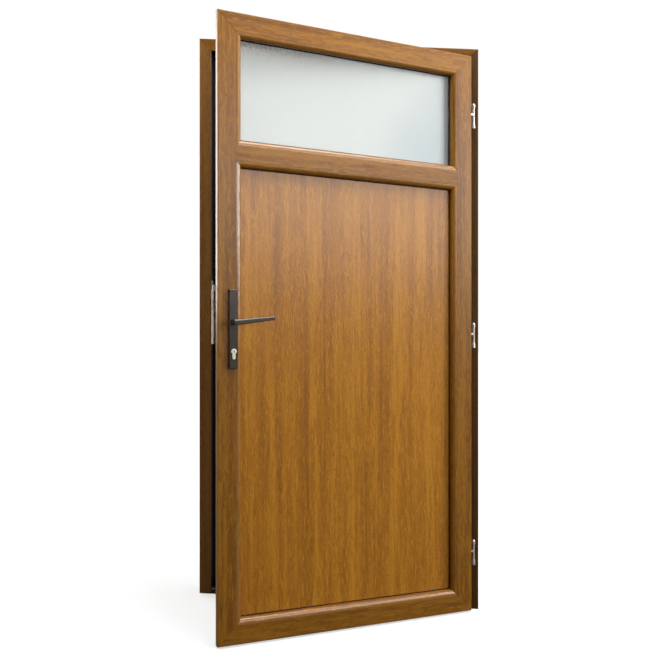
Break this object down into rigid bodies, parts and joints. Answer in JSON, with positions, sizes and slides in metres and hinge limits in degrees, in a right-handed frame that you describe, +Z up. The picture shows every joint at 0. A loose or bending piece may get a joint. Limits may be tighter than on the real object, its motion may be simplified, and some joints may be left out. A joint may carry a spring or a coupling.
{
  "type": "entrance door",
  "caption": "Inward-opening entrance door hung ajar in its frame, with an obscured glass light over a flat wood-look panel, lever handle, latch and pin hinges.",
  "frame": {"origin": "underside of the threshold, at the middle of its width and of the frame's depth", "axes": "+Z up, +X from the lock side to the hinge side, +Y outdoors; the room is on the -Y side"},
  "size_m": [1, 0.5455, 2],
  "materials": {
    "wood_foil": "satin foil with oak grain",
    "black_rubber": "matte",
    "obscured_glass": "frosted",
    "spacer_metal": "dark satin",
    "threshold_metal": "dark anodised",
    "bright_steel": "zinc plated",
    "dark_bronze": "satin",
    "nickel_brass": "satin nickel"
  },
  "bodies": {
    "door_frame": {"lock_jamb": "wood_foil", "hinge_jamb": "wood_foil", "frame_head": "wood_foil", "threshold": "threshold_metal", "frame_seal": "black_rubber", "strike_plate": "bright_steel", "upper_hinge_frame_knuckle": "bright_steel", "middle_hinge_frame_knuckle": "bright_steel", "lower_hinge_frame_knuckle": "bright_steel", "upper_hinge_pin": "bright_steel", "middle_hinge_pin": "bright_steel", "lower_hinge_pin": "bright_steel"},
    "door_leaf": {"lock_stile": "wood_foil", "hinge_stile": "wood_foil", "top_rail": "wood_foil", "bottom_rail": "wood_foil", "transom": "wood_foil", "lower_panel": "wood_foil", "glass_inner_pane": "obscured_glass", "glass_outer_pane": "obscured_glass", "glass_spacer": "spacer_metal", "glass_bead_lock_side": "wood_foil", "glass_bead_hinge_side": "wood_foil", "glass_bead_top": "wood_foil", "glass_bead_bottom": "wood_foil", "panel_bead_lock_side": "wood_foil", "panel_bead_hinge_side": "wood_foil", "panel_bead_top": "wood_foil", "panel_bead_bottom": "wood_foil", "glazing_seals": "black_rubber", "leaf_seal": "black_rubber", "inside_handle_plate": "dark_bronze", "outside_handle_plate": "dark_bronze", "lock_cylinder": "nickel_brass", "lock_faceplate": "bright_steel", "deadbolt": "bright_steel", "upper_hinge_leaf_knuckle": "bright_steel", "middle_hinge_leaf_knuckle": "bright_steel", "lower_hinge_leaf_knuckle": "bright_steel"},
    "lever_handle": {"inside_lever": "dark_bronze", "outside_lever": "dark_bronze", "spindle": "bright_steel"},
    "latch": {"latch_bolt": "bright_steel"}
  },
  "joints": [
    {"name": "leaf_swing", "type": "hinge", "parent": "door_frame", "child": "door_leaf", "pos_m": [0.481, -0.048, 0.978], "axis": [0, 0, 1], "range_deg": [-26.6, 78.4]},
    {"name": "handle_turn", "type": "hinge", "parent": "door_leaf", "child": "lever_handle", "pos_m": [-0.33136, -0.42907, 1.008], "axis": [-0.4478, 0.8942, 0], "range_deg": [0, 40], "stiffness_Nm_per_rad": 1.5, "springref_deg": -28.65},
    {"name": "latch_slide", "type": "slide", "parent": "door_leaf", "child": "latch", "axis": [0.8942, 0.4478, 0], "range_m": [0, 0.024]}
  ],
  "couplings": [
    {"joint": "latch_slide", "follows": "handle_turn", "m_per_rad": 0.0343}
  ]
}
